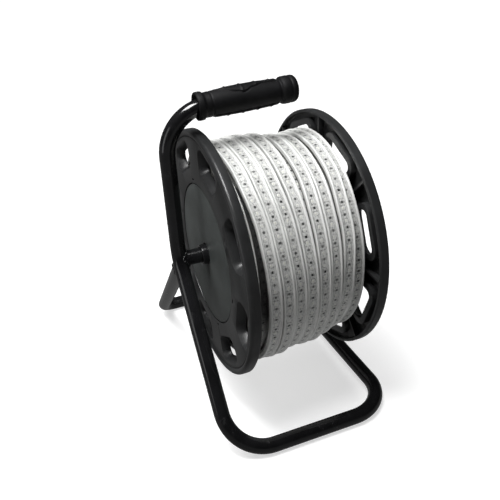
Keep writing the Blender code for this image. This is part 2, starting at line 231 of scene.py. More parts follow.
class Finish:
    def __init__(self, name, **constants):
        self.material = bpy.data.materials.new(name)
        self.material.use_nodes = True
        self.tree = self.material.node_tree
        self.shader = self.tree.nodes["Principled BSDF"]
        for socket, value in constants.items():
            self.shader.inputs[socket.replace("_", " ")].default_value = value

    def node(self, kind, settings=None, inputs=None, output=0):
        node = self.tree.nodes.new(kind)
        for key, value in (settings or {}).items():
            setattr(node, key, value)
        items = inputs.items() if isinstance(inputs, dict) else enumerate(inputs or [])
        for key, value in items:
            if isinstance(value, Sock):
                self.tree.links.new(value.socket, node.inputs[key])
            else:
                node.inputs[key].default_value = value
        return Sock(self, node.outputs[output])

    def place(self, scale=(1, 1, 1)):
        """Object coordinates in metres, stretched or squeezed by a scale."""
        source = self.node("ShaderNodeTexCoord", output="Object")
        return self.node("ShaderNodeMapping", {}, {"Vector": source, "Scale": scale})

    def parts(self, vector):
        node = self.tree.nodes.new("ShaderNodeSeparateXYZ")
        self.tree.links.new(vector.socket, node.inputs[0])
        return [Sock(self, out) for out in node.outputs]

    def grain(self, vector, scale, detail=3.0, roughness=0.5):
        return self.node("ShaderNodeTexNoise", {}, {"Vector": vector, "Scale": scale, "Detail": detail,
                                                    "Roughness": roughness}, "Fac")

    def random(self, number):
        """A steady random value for each whole number."""
        return self.node("ShaderNodeTexWhiteNoise", {"noise_dimensions": "1D"}, {"W": number}, "Value")

    def mix(self, factor, first, second):
        node = self.tree.nodes.new("ShaderNodeMix")
        node.data_type = "RGBA"
        for index, value in ((0, factor), (6, first), (7, second)):
            if isinstance(value, Sock):
                self.tree.links.new(value.socket, node.inputs[index])
            else:
                node.inputs[index].default_value = value if index == 0 else (*value, 1.0)
        return Sock(self, node.outputs[2])

    def feed(self, socket, value):
        self.tree.links.new(value.socket, self.shader.inputs[socket])

    def bump(self, height, distance, strength=1.0):
        normal = self.node("ShaderNodeBump", {}, {"Height": height, "Distance": distance,
                                                  "Strength": strength}, "Normal")
        self.feed("Normal", normal)


def toned(color, share):
    """A colour made darker or lighter by a share."""
    return tuple(part * share for part in color)


# %% [markdown]
# ## Gloss black paint
#
# The stand is steel tube with a smooth black powder coat. It is nearly black, and what the eye
# reads is the sharp white line of the light along it. A little orange peel in the bump keeps the
# line from looking drawn, and faint dust and rub marks change the roughness.

# %% Paint finish
def make_paint():
    finish = Finish("gloss_black_paint", Specular_IOR_Level=0.45, Coat_Weight=0.35, Coat_Roughness=0.06)
    place = finish.place()
    broad = finish.grain(place, 28.0, 4.0)
    fine = finish.grain(place, 420.0, 2.0)
    scuff = finish.grain(finish.place(scale=(1.0, 1.0, 0.35)), 90.0, 5.0, 0.65).smooth(0.56, 0.72)
    base = finish.mix(broad.smooth(0.35, 0.75), (0.006, 0.006, 0.0065), (0.011, 0.011, 0.012))
    finish.feed("Base Color", finish.mix(scuff * 0.35, base, (0.030, 0.030, 0.031)))
    finish.feed("Roughness", broad * 0.06 + scuff * 0.16 + 0.13)
    finish.bump(fine * 0.6 + broad * 0.4, 0.00010, 0.30)
    return finish.material


PAINT = make_paint()

# %% [markdown]
# ## Moulded black plastic
#
# The drum is moulded in black plastic with a fine spark-eroded grain, so it looks dark grey where light
# strikes it at a low angle. The grain is a small noise in the bump. A broader noise varies the
# roughness, as handling does. The round covers have a slightly coarser grain than the rims, and their
# colour is painted nearly three times lighter, as painted light from the left on their faces.

# %% Plastic finishes
def make_plastic(name, tone, rough, grain_scale, grain_depth):
    finish = Finish(name, Specular_IOR_Level=0.5)
    place = finish.place()
    broad = finish.grain(place, 16.0, 4.0, 0.6)
    grain = finish.grain(place, grain_scale, 3.0, 0.7)
    wear = finish.grain(place, 70.0, 6.0, 0.7).smooth(0.58, 0.78)
    base = finish.mix(broad.smooth(0.3, 0.7), toned(tone, 0.75), toned(tone, 1.30))
    finish.feed("Base Color", finish.mix(wear * 0.30, base, toned(tone, 2.2)))
    finish.feed("Roughness", broad * 0.10 + grain * 0.08 + rough)
    finish.bump(grain, grain_depth, 0.55)
    return finish.material


RIM_PLASTIC = make_plastic("black_rim_plastic", (0.022, 0.0225, 0.023), 0.24, 900.0, 0.00012)
# Painted light: the covers' tone is lighter than the rims' to stand for the light from the left on
# their faces.
LIT_COVER_PLASTIC = make_plastic("grained_cover_plastic_painted_light", (0.060, 0.066, 0.064), 0.38, 650.0, 0.00022)

# %% [markdown]
# ## Rubber of the grip
#
# The grip is soft black rubber. It has no clear highlight, only a broad one, and a fine pitted
# skin. The pits are in the bump, because they are far under a millimetre.

# %% Rubber finish
def make_rubber():
    finish = Finish("black_grip_rubber", Specular_IOR_Level=0.22)
    place = finish.place()
    skin = finish.grain(place, 700.0, 3.0, 0.6)
    broad = finish.grain(place, 35.0, 4.0, 0.6)
    base = finish.mix(broad.smooth(0.3, 0.75), (0.0045, 0.0045, 0.005), (0.010, 0.010, 0.011))
    finish.feed("Base Color", base)
    finish.feed("Roughness", broad * 0.14 + skin * 0.10 + 0.46)
    finish.bump(skin, 0.00018, 0.6)
    return finish.material


RUBBER = make_rubber()

# %% [markdown]
# ## The strip's jacket and its lights
#
# The strip is a flexible circuit with small square lights, drawn into a clear-white plastic jacket.
# The lights show through as soft outlines, with a dark resistor between each two. The pattern follows
# the strip, so it is drawn in the strip's own UV map: U is the length along the strip and V the place
# across it, both in metres. In the pattern `a` is the place along one unit and `b` the place across the
# strip, both in millimetres. Every unit is drawn a little differently. The sides of the strip are
# painted dark, as painted shade where they show in the gaps between turns, and the film of the turn of
# the layer below beside the left flange is painted dark as the flange's shadow, because the photograph
# is dark in both places. These painted tones are matched to it. What makes it dark there isn't known,
# so these are tones matched by eye.

# %% Strip finish
LIGHT_PITCH = 0.0133
STRIP_WIDTH = 0.0139
MEAN_RADIUS = 0.127
MM = 1000.0


def rounded_box(a, b, half_a, half_b):
    """0 in the middle of a box with rounded corners, 1 on its outline and more outside."""
    return ((a.abs() / half_a).power(4.0) + (b.abs() / half_b).power(4.0)).power(0.25)


def make_jacket(name, shade):
    finish = Finish(name, Specular_IOR_Level=0.5, Coat_Roughness=0.18)
    along, across, _ = finish.parts(finish.node("ShaderNodeUVMap", {"uv_map": "strip"}))
    unit = along / LIGHT_PITCH
    number = unit.floor()
    chance = finish.random(number)
    other = finish.random(number + 0.37)
    a = (unit.fract() - 0.5) * (LIGHT_PITCH * MM)
    shifted = ((unit + 0.5).fract() - 0.5) * (LIGHT_PITCH * MM)
    b = (across - STRIP_WIDTH / 2) * MM + 0.80
    band = 1.0 - b.abs().smooth(4.2, 5.0)
    place = finish.place()
    cloud = finish.grain(place, 38.0, 5.0, 0.6)
    streak = finish.grain(finish.node("ShaderNodeCombineXYZ", {}, [along * 260.0, across * 900.0, 0.0]),
                          1.0, 3.0, 0.6)
    fleck = finish.grain(place, 480.0, 3.0, 0.7)
    chip = rounded_box(a, b + (fleck - 0.5) * 1.6, 1.35, 1.30)
    resistor = 1.0 - chip.smooth(0.78, 1.22)
    solder = (1.0 - (b.abs() - 2.1).abs().smooth(0.25, 0.65)) * (1.0 - a.abs().smooth(0.9, 1.5))
    light = rounded_box(shifted + (chance - 0.5) * 1.2, b + (other - 0.5) * 0.8, 2.0 + other * 0.9,
                        1.6 + chance * 0.7)
    rim = (1.0 - (light - 1.0).abs().smooth(0.06, 0.26)) * (0.10 + chance * 0.90)
    rim = rim * (1.0 - (b - 0.4).smooth(0.0, 0.7) * (other > 0.5)) * fleck.smooth(0.36, 0.52)
    lens = 1.0 - light.smooth(0.25, 0.60)
    pad = ((number / 3.0).fract() < 0.2) * (1.0 - (a.abs() - 3.7).abs().smooth(0.45, 0.85))
    pad = pad * (1.0 - (b.abs() - 1.9).abs().smooth(0.75, 1.15))
    film = finish.mix(cloud.smooth(0.32, 0.68), toned(shade, 0.82), shade)
    film = finish.mix(band * 0.75, film, toned(shade, 0.76))
    film = finish.mix(band * streak.smooth(0.46, 0.62) * 0.70, film, toned(shade, 0.32))
    film = finish.mix(band * (1.0 - light.smooth(0.85, 1.0)) * 0.50, film, toned(shade, 0.95))
    film = finish.mix(lens * 0.30, film, (0.70, 0.69, 0.50))
    film = finish.mix(rim * 0.80, film, (0.09, 0.095, 0.09))
    film = finish.mix(pad * 0.60, film, (0.15, 0.15, 0.14))
    film = finish.mix(solder * (0.25 + other * 0.45), film, (0.20, 0.20, 0.19))
    film = finish.mix(resistor * (0.72 + chance * 0.28), film, (0.010, 0.011, 0.012))
    # Painted shade: the strip's sides are near black where they show in the gaps between turns and at
    # the winding's ends.
    side = b.abs().smooth(9.4, 11.0)
    film = finish.mix(side * 0.92, film, (0.06, 0.06, 0.055))
    # Painted shadow: the turn of the layer below beside the left flange gets a near-black film for the
    # flange's shadow, and only its left rail stays light.
    turns = along / (math.tau * MEAN_RADIUS)
    painted_flange_shadow = turns.smooth(-1.5, -1.3) * (1.0 - turns.smooth(-0.31, -0.25)) * b.smooth(-6.0, -4.6)
    finish.feed("Base Color", finish.mix(painted_flange_shadow * 0.93, film, (0.012, 0.012, 0.012)))
    finish.feed("Roughness", cloud * 0.14 + streak * 0.14 + 0.16)
    finish.feed("Coat Weight", cloud.smooth(0.35, 0.65) * 0.35)
    finish.bump(streak * 0.55 + cloud * 0.5 + lens * 0.35 + fleck * 0.20, 0.0011, 0.55)
    return finish.material


def make_plain_white(name, shade, rough):
    finish = Finish(name, Specular_IOR_Level=0.5)
    place = finish.place()
    cloud = finish.grain(place, 60.0, 4.0)
    fleck = finish.grain(place, 400.0, 3.0, 0.6)
    finish.feed("Base Color", finish.mix(cloud.smooth(0.3, 0.7), toned(shade, 0.85), shade))
    finish.feed("Roughness", cloud * 0.15 + fleck * 0.10 + rough)
    finish.bump(fleck * 0.5 + cloud, 0.0004, 0.4)
    return finish.material


JACKET = make_jacket("white_strip_jacket", (0.80, 0.805, 0.785))
CAP_PLASTIC = make_plain_white("soft_end_cap", (0.74, 0.74, 0.71), 0.20)
# Painted shade: a grey copy of the strip's white for the shaded edges inside the drum.
SHADED_INNER_JACKET = make_plain_white("inner_strip_edges_painted_shade", (0.42, 0.42, 0.40), 0.45)
print("finishes:", [m.name for m in bpy.data.materials if m.use_nodes])

# %% [markdown]
# ## The stand's tube
#
# The real stand is one steel tube, bent in a jig. A tube bender holds the tube and turns it round a
# former, and the spin operator does the same: it takes the ring of edges at the end of the tube and
# turns it about the bend's centre. Straight runs are extruded. The last end is welded to the
# upright, so it simply runs into it here.

# %% Bend the tube
def push_ring(bm, ring, offset):
    """A straight run: the ring of edges is extruded by the offset."""
    pushed = bmesh.ops.extrude_edge_only(bm, edges=ring)["geom"]
    verts = [g for g in pushed if isinstance(g, bmesh.types.BMVert)]
    bmesh.ops.translate(bm, vec=offset, verts=verts)
    edges = [g for g in pushed if isinstance(g, bmesh.types.BMEdge)]
    return [e for e in edges if all(v in set(verts) for v in e.verts)]


def run_tube(corners, radii, radius, sides, steps_per_turn):
    """A tube through the corners, bent at each inner one, with the line that its middle takes."""
    bm = bmesh.new()
    heading = (corners[1] - corners[0]).normalized()
    bmesh.ops.create_circle(bm, segments=sides, radius=radius)
    turn_up = Vector((0, 0, 1)).rotation_difference(heading).to_matrix().to_4x4()
    move(bm, Matrix.Translation(corners[0]) @ turn_up)
    ring = list(bm.edges)
    first_ring = ring
    here = corners[0]
    line = [here]
    for corner, after, bend in zip(corners[1:], corners[2:], radii):
        out = (after - corner).normalized()
        angle = heading.angle(out)
        start = corner - heading * bend * math.tan(angle / 2)
        ring = push_ring(bm, ring, start - here)
        center = start + (out - heading * heading.dot(out)).normalized() * bend
        axis = heading.cross(out).normalized()
        steps = max(4, round(steps_per_turn * angle / math.tau))
        verts = list({v for e in ring for v in e.verts})
        turned = bmesh.ops.spin(bm, geom=verts + ring, cent=center, axis=axis, angle=angle,
                                steps=steps)
        ring = [g for g in turned["geom_last"] if isinstance(g, bmesh.types.BMEdge)]
        for i in range(steps + 1):
            line.append(center + Matrix.Rotation(angle * i / steps, 3, axis) @ (start - center))
        here = line[-1]
        heading = out
    ring = push_ring(bm, ring, corners[-1] - here)
    line.append(corners[-1])
    bmesh.ops.edgeloop_fill(bm, edges=first_ring)
    bmesh.ops.edgeloop_fill(bm, edges=ring)
    return bm, line


HANDLE_RISE = math.radians(2.0)
HANDLE_DIR = Vector((math.cos(HANDLE_RISE), 0.0, math.sin(HANDLE_RISE)))
HANDLE_HEIGHT = 0.3575
UPRIGHT_SET_BACK = 0.003
UPRIGHT_Y = AXLE.y + UPRIGHT_SET_BACK
HANDLE_CORNER = Vector((UPRIGHT_X, UPRIGHT_Y, HANDLE_HEIGHT))
GRIP_START = 0.036
GRIP_LENGTH = 0.115
GRIP_END_WALL = 0.0063
BAR_HEIGHT = 0.00883
BEND_RADIUS = 0.050
REAR_BEND_RADIUS = 0.018
REAR_SHIFT = 0.009
WELD_DROP = 0.012
LEG_RUN_ON = 0.0045
SLIMMER = 0.00018
SIDE_BAR_X = STAND_HIGH.x - TUBE_RADIUS
FRONT_Y = STAND_LOW.y + TUBE_RADIUS
REAR_Y = STAND_HIGH.y - TUBE_RADIUS
upright_bend = Vector((UPRIGHT_X, UPRIGHT_Y, AXLE.z))
rear_foot = Vector((UPRIGHT_X + REAR_SHIFT, REAR_Y, BAR_HEIGHT))
leg_weld = upright_bend - Vector((0, 0, WELD_DROP))
leg_heading = (leg_weld - rear_foot).normalized()
handle_end = HANDLE_CORNER + HANDLE_DIR * (GRIP_START + GRIP_LENGTH - GRIP_END_WALL)
tube_corners = [handle_end, HANDLE_CORNER,
                upright_bend, Vector((UPRIGHT_X, FRONT_Y, BAR_HEIGHT)),
                Vector((SIDE_BAR_X, FRONT_Y, BAR_HEIGHT)), Vector((SIDE_BAR_X, REAR_Y, BAR_HEIGHT)),
                rear_foot, leg_weld + leg_heading * LEG_RUN_ON]
tube_bends = [BEND_RADIUS] * 5 + [REAR_BEND_RADIUS]
tube_bm, tube_line = run_tube(tube_corners, tube_bends, TUBE_RADIUS - SLIMMER, 48, 96)
tube = finish_piece("bent_tube", tube_bm, PAINT)
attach(tube, "stand")
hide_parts("stand_tube")
report_piece(tube)

# %% [markdown]
# ## The welds
#
# A weld is a row of small overlapping puddles. The seam where two round bars meet is found by
# walking along the joining bar's side until it comes out of the upright. A small ball is set at
# each of those places, and nothing stands out past the upright's outer side. Both seams are painted
# with the tube, so they use the same finish.

# %% Weld seams
BEADS = 30


def distance_to_line(point, line):
    best = 1.0
    for a, b in zip(line, line[1:]):
        run = b - a
        t = min(1.0, max(0.0, (point - a).dot(run) / max(run.length_squared, 1e-12)))
        best = min(best, (a + run * t - point).length)
    return best


def weld_seam(start, heading, line, ball):
    """Beads where a bar that starts inside a bent tube comes out of it."""
    bm = bmesh.new()
    side = heading.orthogonal().normalized()
    other = heading.cross(side)
    for i in range(BEADS):
        angle = math.tau * i / BEADS
        foot = start + (side * math.cos(angle) + other * math.sin(angle)) * TUBE_RADIUS
        low, high = 0.0, 0.030
        for _ in range(14):
            middle = (low + high) / 2
            inside = distance_to_line(foot + heading * middle, line) < TUBE_RADIUS
            low, high = (middle, high) if inside else (low, middle)
        wobble = 1.0 + 0.12 * math.sin(i * 2.4)
        place = Matrix.Translation(foot + heading * high) @ Matrix.Scale(wobble, 4)
        bmesh.ops.create_icosphere(bm, subdivisions=2, radius=ball, matrix=place)
    return bm


upright_line = [p for p in tube_line if abs(p.x - UPRIGHT_X) < 0.0005 and p.z > AXLE.z - 0.08
                and p.y < UPRIGHT_Y + 0.0005]
leg_seam = weld_seam(leg_weld, -leg_heading, upright_line, 0.0017)
axle_start = Vector((UPRIGHT_X, AXLE.y, AXLE.z))
axle_seam = weld_seam(axle_start, Vector((1, 0, 0)), upright_line, 0.0016)
weld_bm = joined([leg_seam, axle_seam])
for vert in weld_bm.verts:
    vert.co.x = max(vert.co.x, UPRIGHT_X - TUBE_RADIUS)
welds = finish_piece("weld_seams", weld_bm, PAINT, 60.0)
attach(welds, "stand")
report_piece(welds)

# %% [markdown]
# ## Axle and collars
#
# The axle is a short bar across the stand. Two collars on it keep the drum in place, each a turned
# ring with broken edges. They are lathe work, so each is an outline that is spun once round, and
# the corners of the outline are rounded before it is spun.

# %% Turn the axle and the collars
AXLE_RADIUS = TUBE_RADIUS - 0.00005
COLLAR_BORE, COLLAR_RADIUS = 0.0092, 0.0119
axle_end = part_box("axle")[1].x
axle_outline = [(UPRIGHT_X, 0.0), (UPRIGHT_X, AXLE_RADIUS), (axle_end - 0.0012, AXLE_RADIUS),
                (axle_end - 0.0004, AXLE_RADIUS - 0.0005), (axle_end, AXLE_RADIUS - 0.0012),
                (axle_end, 0.006), (axle_end - 0.002, 0.0056), (axle_end - 0.002, 0.0)]
axle = finish_piece("axle_bar", move(spin_outline(axle_outline, 48, closed=False), TO_DRUM), PAINT)
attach(axle, "stand")
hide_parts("axle")
for side in ("left", "right"):
    low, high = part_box(side + "_collar")
    ring = [(low.x, COLLAR_BORE), (low.x, COLLAR_RADIUS), (high.x, COLLAR_RADIUS),
            (high.x, COLLAR_BORE)]
    bm = move(spin_outline(rounded(ring, 0.0012, 4), 64), TO_DRUM)
    collar = finish_piece(side + "_collar_ring", bm, PAINT)
    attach(collar, "stand")
    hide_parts(side + "_collar")
report_piece(axle)

# %% [markdown]
# ## The flanges
#
# Each flange is one moulding: a plate with a rolled bead round its edge, a rim that reaches over the
# winding, a hub, eight holes whose walls run the depth of the flange, and a rib between each two
# holes. The round body is spun from the outline below. It is drawn for the left side: x runs from
# the flange's outer side to the winding. A hole has rounded corners and gets narrower inwards.

# %% Flange outline
PLATE_OUT = 0.002
PLATE_IN = 0.005
COVER_SEAT = 0.0052
BORE = 0.0093
COVER_EDGE = 0.0839
PLATE_EDGE = 0.1365
RIM_INSIDE = 0.1415
HUB_RADIUS = 0.017
BEAD_RADIUS = 0.004
HOLES = 8
HOLE_INNER, HOLE_OUTER, HOLE_HALF, HOLE_CORNER = 0.1005, 0.1325, math.radians(14.0), 0.012
HOLE_TAPER = 0.0055


def flange_outline():
    bead = arc_points((BEAD_RADIUS, FLANGE_RADIUS - BEAD_RADIUS), BEAD_RADIUS, 270.0, 90.0, 12)
    outside = [(COVER_SEAT, BORE), (COVER_SEAT, COVER_EDGE), (PLATE_OUT, COVER_EDGE),
               (PLATE_OUT, PLATE_EDGE), (PLATE_OUT + 0.0006, PLATE_EDGE + 0.00035)]
    rim = [(FLANGE_WIDTH - 0.001, FLANGE_RADIUS), (FLANGE_WIDTH, FLANGE_RADIUS - 0.001),
           (FLANGE_WIDTH, RIM_INSIDE), (PLATE_IN + 0.0015, RIM_INSIDE), (PLATE_IN, RIM_INSIDE - 0.0015)]
    inside = [(PLATE_IN, 0.0864), (0.0077, 0.0864), (0.0077, 0.0567), (0.0137, 0.0567),
              (0.0137, 0.0537), (0.0077, 0.0537), (0.0077, HUB_RADIUS), (FLANGE_WIDTH, HUB_RADIUS),
              (FLANGE_WIDTH, BORE)]
    return outside + bead[1:] + rim + inside


def hole_outline(grow, steps):
    """A hole between two radii with rounded corners, made larger all round by grow."""
    inner, outer, corner = HOLE_INNER - grow, HOLE_OUTER + grow, HOLE_CORNER + grow
    points = []
    for side, level_at, sign, swap in ((1, inner, -1, True), (1, outer, 1, False),
                                       (-1, outer, 1, True), (-1, inner, -1, False)):
        level = level_at - sign * corner
        lean = HOLE_HALF - math.asin(HOLE_CORNER / level)
        center = Vector((side * level * math.sin(lean), level * math.cos(lean)))
        outward = Vector((side * math.sin(lean), math.cos(lean))) * sign
        flank = Vector((side * math.cos(HOLE_HALF), -math.sin(HOLE_HALF)))
        first, last = (outward, flank) if swap else (flank, outward)
        points += [center + corner * first.slerp(last, i / steps) for i in range(steps + 1)]
    return points


def hole_prism(angle, start, end, grow, far_grow, steps=8):
    bm = bmesh.new()
    near = [bm.verts.new((start, p.x, p.y)) for p in hole_outline(grow, steps)]
    far = [bm.verts.new((end, p.x, p.y)) for p in hole_outline(far_grow, steps)]
    rings = [[bm.edges.new(pair) for pair in zip(ring, ring[1:] + ring[:1])] for ring in (near, far)]
    bmesh.ops.bridge_loops(bm, edges=rings[0] + rings[1])
    for ring in rings:
        bmesh.ops.contextual_create(bm, geom=ring)
    return move(bm, Matrix.Rotation(-angle, 4, "X"))


print("a flange's outline has", len(flange_outline()), "points, a hole's", len(hole_outline(0.0, 8)))

# %% [markdown]
# ## Mould the flanges
#
# The walls and ribs are joined to the round body and the holes are cut, with Boolean modifiers.
# Four small catches show as slots round the cover. A narrow bevel then catches the light on every
# edge, as a moulded edge does. The right flange is the same one, turned the other way.

# %% Mould the flanges
def block(size, center, angle):
    bm = bmesh.new()
    bmesh.ops.create_cube(bm, size=1.0)
    bmesh.ops.scale(bm, vec=size, verts=bm.verts)
    bmesh.ops.translate(bm, vec=center, verts=bm.verts)
    return move(bm, Matrix.Rotation(-angle, 4, "X"))


def to_side(place, mirror):
    """From the outline's own place to the left side, or mirrored to the right."""
    return TO_DRUM @ Matrix.Translation((place, 0, 0)) @ Matrix.Scale(mirror, 4, (1, 0, 0))


def mould_flange(name, place, mirror, phase, node):
    walls, holes, ribs, slots = [], [], [], []
    for i in range(HOLES):
        angle = phase - math.tau * i / HOLES
        walls.append(hole_prism(angle, PLATE_IN - 0.0015, FLANGE_WIDTH - 0.0003, 0.0022, 0.0022))
        holes.append(hole_prism(angle, 0.0015, 0.0125, 0.0002, -HOLE_TAPER))
        ribs.append(block((0.0082, 0.0025, 0.0603), (0.0076, 0, 0.11315), angle - math.pi / HOLES))
    for degrees in (16.0, 78.0, 197.0, 260.0):
        slots.append(block((0.003, 0.006, 0.0022), (PLATE_OUT, 0, 0.0880), math.radians(degrees)))
    to_place = to_side(place, mirror)
    flange = finish_piece(name, move(spin_outline(flange_outline(), 192), to_place), RIM_PLASTIC)
    tools = []
    for parts, operation in ((walls, "UNION"), (ribs, "UNION"), (holes, "DIFFERENCE"),
                             (slots, "DIFFERENCE")):
        tool = finish_piece("tool", move(joined(parts), to_place), RIM_PLASTIC)
        boolean = flange.modifiers.new(operation, "BOOLEAN")
        boolean.operation = operation
        boolean.object = tool
        tools.append(tool)
    edge = flange.modifiers.new("edges", "BEVEL")
    edge.width = 0.0005
    edge.segments = 2
    edge.limit_method = "ANGLE"
    edge.angle_limit = math.radians(40.0)
    bake(flange)
    for tool in tools:
        bpy.data.objects.remove(tool, do_unlink=True)
    flange.data.shade_smooth()
    flange.data.set_sharp_from_angle(angle=math.radians(40.0))
    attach(flange, "drum")
    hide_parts(node)
    report_piece(flange)


mould_flange("left_rim", LEFT_OUTER, 1.0, math.radians(30.0), "left_flange")
mould_flange("right_rim", RIGHT_OUTER, -1.0, math.radians(22.0), "right_flange")

# %% [markdown]
# ## Covers and barrel
#
# A round cover closes the middle of each flange. It is a flat disc with a rounded edge, so a thin
# dark groove shows all round it. The barrel is hidden under the strip, so its own solid stays and
# only gets the plastic finish.

# %% Turn the covers
for side, place, mirror in (("left", LEFT_OUTER, 1.0), ("right", RIGHT_OUTER, -1.0)):
    disc = [(0.0025, 0.0126), (0.0025, 0.0826), (0.0049, 0.0829), (0.0049, 0.0126)]
    bm = move(spin_outline(rounded(disc, 0.0006, 3), 160), to_side(place, mirror))
    cover = finish_piece(side + "_cover_disc", bm, LIT_COVER_PLASTIC)
    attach(cover, "drum")
    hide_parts(side + "_cover")
    report_piece(cover)
for barrel_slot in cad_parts["drum_barrel"].material_slots:
    barrel_slot.material = RIM_PLASTIC

# %% [markdown]
# ## The wound strip
#
# The strip goes round the drum as a screw does. The spin operator can make a screw, because it
# takes a small shift for every step. Its section has a raised rail along each edge and a sunk
# middle. A strip that is wound by hand wanders, so each turn is then set right. Four numbers a turn
# say how high it lies behind, on top, in front and below, where it sags. Five say where its middle
# is along the axle, from top to bottom at the front. Both are in millimetres, and between them the
# values change smoothly. A place round the drum is counted in turns from where the top layer starts,
# and the layer below has places under 0. It comes up out of the gap beside the left flange.

# %% Where each turn lies
TURN_PITCH = 0.0146
STEPS_PER_TURN = 150
START_ANGLE = 150.0
TOP_TURNS = 7.86
UNDER_TURNS = 5.2
HEIGHT_AT = (0.111, 0.361, 0.583, 0.803)
TURN_HEIGHT = [(130.4, 128.4, 130.8, 134.4), (129.7, 128.6, 130.5, 134.9), (129.0, 130.3, 130.0, 131.0),
               (128.3, 128.3, 129.5, 130.4), (127.5, 124.2, 129.0, 130.9), (126.8, 121.6, 128.5, 127.0),
               (126.0, 123.9, 128.6, 121.6), (125.3, 124.7, 123.2, 120.2)]
MIDDLE_AT = (0.417, 0.500, 0.583, 0.667, 0.736)
TURN_MIDDLE = [(56.4, 59.1, 62.3, 63.6, 63.8), (72.2, 74.1, 76.3, 78.4, 79.0),
               (86.3, 88.3, 90.4, 92.6, 93.3), (104.0, 104.8, 105.6, 106.8, 107.4),
               (125.0, 124.8, 122.0, 121.0, 121.4),
               (141.4, 140.0, 137.2, 135.2, 135.6), (158.9, 157.9, 154.0, 150.3, 150.0),
               (168.0, 167.4, 166.0, 164.8, 165.2)]


def between(knots, place):
    """A smooth value between the two knots on either side of a place."""
    for (p0, v0), (p1, v1) in zip(knots, knots[1:]):
        if place <= p1:
            t = min(1.0, max(0.0, (place - p0) / (p1 - p0)))
            return v0 + (v1 - v0) * t * t * (3 - 2 * t)
    return knots[-1][1]


def knots_of(rows, places):
    """One (turn, metres) pair for each number of a table in millimetres."""
    return [(turn + at, value / MM) for turn, row in enumerate(rows) for at, value in zip(places, row)]


FIRST_MIDDLE = 0.0515
HEIGHTS = knots_of(TURN_HEIGHT, HEIGHT_AT)
MIDDLES = [(0.0, FIRST_MIDDLE)] + knots_of(TURN_MIDDLE, MIDDLE_AT)
UNDER_MIDDLES = [(0.0, FIRST_MIDDLE), (0.20, 0.0530), (0.45, 0.0590), (1.0, 0.0680)]
UNDER_DEPTHS = [(0.0, 0.0), (0.20, 0.0066), (0.30, 0.0100), (0.42, 0.0160), (0.55, 0.0170),
                (0.90, 0.0076)]
HIGHEST = 0.1305


def height_over(x, turns):
    """How high the top layer lies above a place along the axle, on the side where turns ends."""
    share = turns % 1.0
    lowest = HIGHEST
    for turn in range(len(TURN_HEIGHT)):
        if share + turn < TOP_TURNS and abs(between(MIDDLES, share + turn) - x) < 0.015:
            lowest = min(lowest, between(HEIGHTS, share + turn))
    return lowest


def strip_place(turns):
    """The strip's middle along the axle and its height, turns from where the top layer starts."""
    if turns >= 0.0:
        middle = between(MIDDLES, turns)
        height = between(HEIGHTS, turns)
    else:
        middle = between(UNDER_MIDDLES, -turns) + TURN_PITCH * max(0.0, -turns - 1.0)
        height = height_over(middle + 0.004, turns) - between(UNDER_DEPTHS, -turns)
    middle += noise.noise(Vector((turns * 2.7, 3.0, 0.0))) * 0.0003
    height += noise.noise(Vector((turns * 6.1, 5.0, 0.0))) * 0.0005
    return middle, height


print("turn 1 in front:", [round(v * 1000, 1) for v in strip_place(0.6)], "mm")

# %% [markdown]
# ## Wind the strip
#
# The spin makes an even screw first. Each vertex knows which point of the section it came from and
# which step of the screw it is on, so it can be set on the path of the turns, with a small ripple.
# The strip's UV map is laid at the same time.

# %% Wind the strip
STRIP_SECTION = [(0.0, -6.6), (0.0, -1.35), (0.22, -0.55), (0.75, -0.10), (1.45, 0.0), (2.05, -0.22),
                 (2.5, -0.62), (3.3, -0.72), (5.2, -0.66), (6.95, -0.62), (8.7, -0.66), (10.6, -0.72),
                 (11.3, -0.62), (11.7, -0.18), (12.3, 0.10), (13.0, 0.02), (13.65, -0.5),
                 (13.9, -1.35), (13.9, -6.6)]
SECTION_MIDDLE = 6.95


def section_lengths(section):
    """How far each point of the section is from the strip's left edge, measured over its skin."""
    lengths = [0.0]
    for (x0, h0), (x1, h1) in zip(section, section[1:] + section[:1]):
        lengths.append(lengths[-1] + math.hypot(x1 - x0, h1 - h0) / MM)
    middle = lengths[len(section) // 2]
    return [length - middle + STRIP_WIDTH / 2 for length in lengths]


def spin_screw(bm, number_layer):
    verts = []
    for number, (across, _) in enumerate(STRIP_SECTION):
        vert = bm.verts.new((across / MM, 0.0, HIGHEST))
        vert[number_layer] = number
        verts.append(vert)
    edges = [bm.edges.new(pair) for pair in zip(verts, verts[1:] + verts[:1])]
    steps = round((TOP_TURNS + UNDER_TURNS) * STEPS_PER_TURN)
    spun = bmesh.ops.spin(bm, geom=verts + edges, cent=(0, 0, 0), axis=(1, 0, 0),
                          dvec=(TURN_PITCH / STEPS_PER_TURN, 0, 0), steps=steps,
                          angle=math.tau * steps / STEPS_PER_TURN)
    last = [g for g in spun["geom_last"] if isinstance(g, bmesh.types.BMEdge)]
    bmesh.ops.edgeloop_fill(bm, edges=edges)
    bmesh.ops.edgeloop_fill(bm, edges=last)


def set_turns(bm, number_layer):
    """Each vertex goes to its place on the path, and the place's turns are given back."""
    places = {}
    turns_of = {}
    for vert in bm.verts:
        across, height = STRIP_SECTION[vert[number_layer]]
        step = round((vert.co.x - across / MM) / TURN_PITCH * STEPS_PER_TURN)
        turns = step / STEPS_PER_TURN - UNDER_TURNS
        if step not in places:
            places[step] = strip_place(turns)
        middle, level = places[step]
        out = (across - SECTION_MIDDLE) / MM
        ripple = noise.noise(Vector((turns * 17.0, across * 0.10, 9.0))) * 0.00035
        sides = noise.noise(Vector((turns * 23.0, 0.0, 4.0))) * 0.00020
        tilt = out * 0.06 * math.sin(turns * 2.1)
        radius = level + height / MM + ripple + tilt
        angle = math.radians(turns * 360.0 - START_ANGLE)
        vert.co = (UPRIGHT_X + middle + out + sides, -radius * math.sin(angle),
                   radius * math.cos(angle))
        turns_of[vert] = turns
    return turns_of


